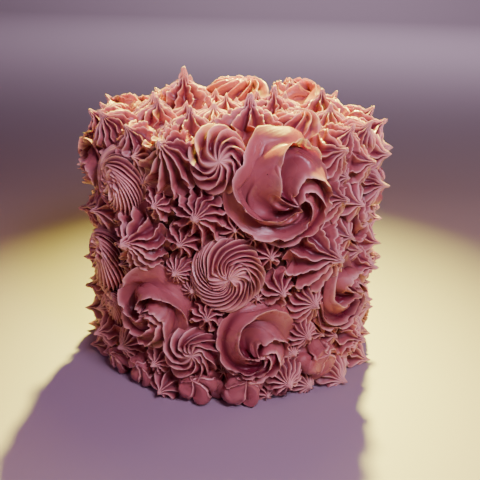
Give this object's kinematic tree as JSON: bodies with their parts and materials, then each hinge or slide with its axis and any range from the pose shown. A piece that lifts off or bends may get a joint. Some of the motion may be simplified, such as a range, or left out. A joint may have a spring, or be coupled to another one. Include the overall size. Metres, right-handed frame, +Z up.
{
  "type": "layer cake",
  "caption": "Tall round uncut layer cake, covered on its side and top with piped chocolate buttercream ruffles, swirls and stars of many sizes.",
  "frame": {"origin": "centre of the flat foot that the cake rests on, on the cake's axis", "axes": "+Z up along the cake's axis, and the side that the picture shows faces -Y"},
  "size_m": [0.195, 0.1958, 0.1752],
  "materials": {
    "buttercream": "satin",
    "crumb_coat": "satin"
  },
  "bodies": {
    "root": {"fine_swirl_01": "buttercream", "fine_swirl_02": "buttercream", "fine_swirl_03": "buttercream", "fine_swirl_04": "buttercream", "fine_swirl_05": "buttercream", "fine_swirl_06": "buttercream", "fine_swirl_07": "buttercream", "fine_swirl_08": "buttercream", "iced_cake": "crumb_coat", "open_swirl_01": "buttercream", "open_swirl_02": "buttercream", "open_swirl_03": "buttercream", "open_swirl_04": "buttercream", "open_swirl_05": "buttercream", "open_swirl_06": "buttercream", "open_swirl_07": "buttercream", "open_swirl_08": "buttercream", "open_swirl_09": "buttercream", "petal_drop_01": "buttercream", "petal_drop_02": "buttercream", "petal_drop_03": "buttercream", "petal_drop_04": "buttercream", "petal_drop_05": "buttercream", "petal_drop_06": "buttercream", "petal_drop_07": "buttercream", "ruffle_rose_01": "buttercream", "ruffle_rose_02": "buttercream", "ruffle_rose_03": "buttercream", "ruffle_rose_04": "buttercream", "ruffle_rose_05": "buttercream", "star_drop_01": "buttercream", "star_drop_02": "buttercream", "star_drop_03": "buttercream", "star_drop_04": "buttercream", "star_drop_05": "buttercream", "star_drop_06": "buttercream", "wavy_star_01": "buttercream", "wavy_star_02": "buttercream", "wavy_star_03": "buttercream", "wavy_star_04": "buttercream", "wavy_star_05": "buttercream", "wavy_star_06": "buttercream", "wavy_star_07": "buttercream", "wavy_star_08": "buttercream", "wavy_star_09": "buttercream", "wavy_star_10": "buttercream", "wavy_star_11": "buttercream", "wavy_star_12": "buttercream", "wavy_star_13": "buttercream", "wavy_star_14": "buttercream", "wavy_star_15": "buttercream", "wide_ruffle_01": "buttercream", "wide_ruffle_02": "buttercream", "wide_ruffle_03": "buttercream", "wide_ruffle_04": "buttercream", "wide_ruffle_05": "buttercream", "wide_ruffle_06": "buttercream", "wide_ruffle_07": "buttercream"}
  },
  "joints": []
}
